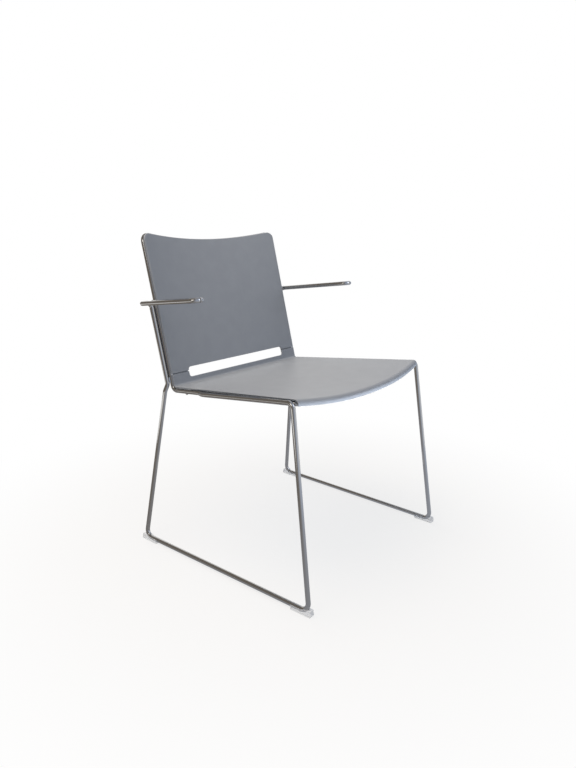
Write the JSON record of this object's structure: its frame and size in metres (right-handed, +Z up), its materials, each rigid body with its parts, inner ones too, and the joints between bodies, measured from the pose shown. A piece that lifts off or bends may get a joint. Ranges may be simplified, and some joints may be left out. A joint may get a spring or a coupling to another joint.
{
  "type": "conference chair",
  "caption": "Stacking conference chair with loop arms: bright rod frame on floor rails, dished seat shell and hollow back shell with a slot where they meet.",
  "frame": {"origin": "on the floor under the middle of the chair's bounding box", "axes": "+Z up, the sitter faces -Y, +X is the sitter's left"},
  "size_m": [0.6112, 0.5966, 0.7817],
  "materials": {
    "chromed_steel": "bright chrome plate on steel rod",
    "zinc_plated_steel": "zinc plated steel",
    "moulded_polypropylene": "fine-textured moulded polypropylene",
    "moulded_nylon": "natural translucent nylon"
  },
  "bodies": {
    "root": {"arm_rod_left": "chromed_steel", "arm_rod_right": "chromed_steel", "back_hoop": "chromed_steel", "back_lug_left_lower": "chromed_steel", "back_lug_left_upper": "chromed_steel", "back_lug_right_lower": "chromed_steel", "back_lug_right_upper": "chromed_steel", "back_screw_1": "zinc_plated_steel", "back_screw_2": "zinc_plated_steel", "back_screw_3": "zinc_plated_steel", "back_screw_4": "zinc_plated_steel", "back_shell": "moulded_polypropylene", "glide_left_front": "moulded_nylon", "glide_left_rear": "moulded_nylon", "glide_right_front": "moulded_nylon", "glide_right_rear": "moulded_nylon", "leg_frame_left": "chromed_steel", "leg_frame_right": "chromed_steel", "rear_stretcher": "chromed_steel", "seat_hoop": "chromed_steel", "seat_lug_left_front": "chromed_steel", "seat_lug_left_rear": "chromed_steel", "seat_lug_right_front": "chromed_steel", "seat_lug_right_rear": "chromed_steel", "seat_screw_1": "zinc_plated_steel", "seat_screw_2": "zinc_plated_steel", "seat_screw_3": "zinc_plated_steel", "seat_screw_4": "zinc_plated_steel", "seat_shell": "moulded_polypropylene", "upright_block_left": "chromed_steel", "upright_block_right": "chromed_steel"}
  },
  "joints": []
}
